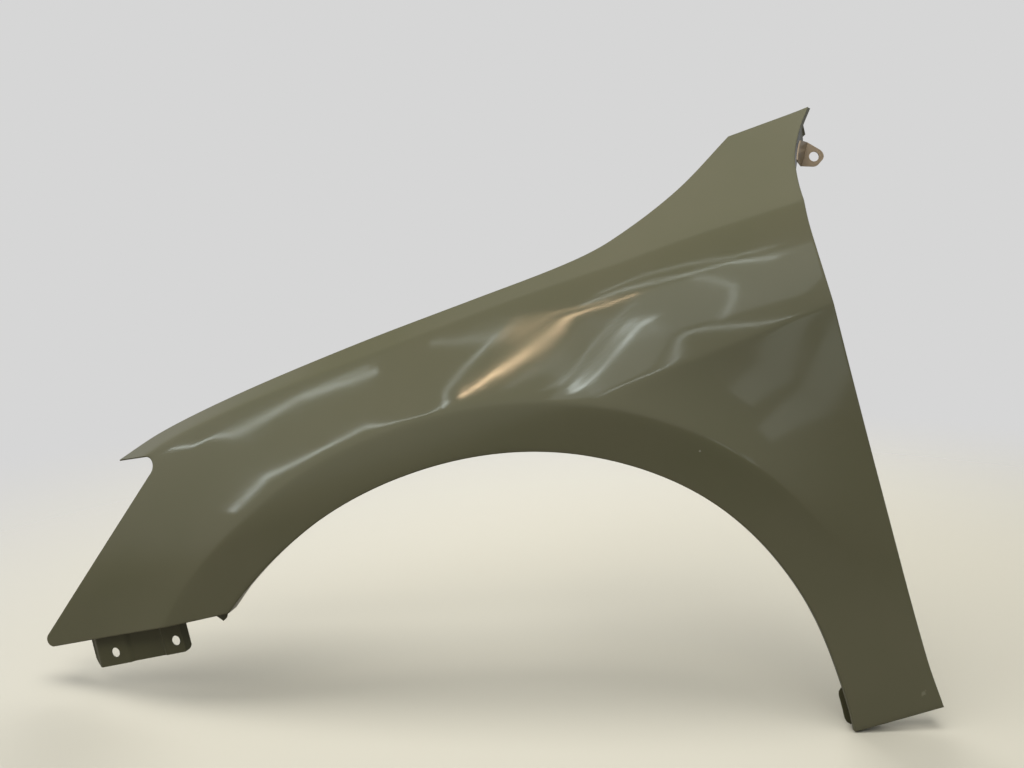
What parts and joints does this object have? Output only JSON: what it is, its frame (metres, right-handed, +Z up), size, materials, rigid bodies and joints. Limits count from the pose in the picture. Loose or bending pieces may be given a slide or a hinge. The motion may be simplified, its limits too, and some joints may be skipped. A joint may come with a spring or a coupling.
{
  "type": "car fender",
  "caption": "Left front fender of a car: pressed steel skin with wheel arch, shoulder crease, edge flanges and welded fixing brackets.",
  "frame": {"origin": "middle of the long bolt seat on the underside of the hood-side flange", "axes": "the car's own: +X rearward along the fender, +Y inboard into the car, +Z up; the wheel centre is at (-0.0317, -0.0776, -0.4877)"},
  "size_m": [1.0459, 0.1925, 0.6888],
  "materials": {
    "skin_primer": "satin olive-grey electro-dipped primer",
    "front_bracket_primer": "satin dark olive primer",
    "bronze_primer": "satin bronze-brown primer",
    "foot_bracket_primer": "satin olive primer",
    "tab_primer": "satin olive primer"
  },
  "bodies": {
    "root": {"fender_skin": "skin_primer", "front_lower_bracket": "front_bracket_primer", "rear_upper_bracket": "bronze_primer", "rear_lower_bracket": "foot_bracket_primer", "arch_liner_tab": "tab_primer"}
  },
  "joints": []
}
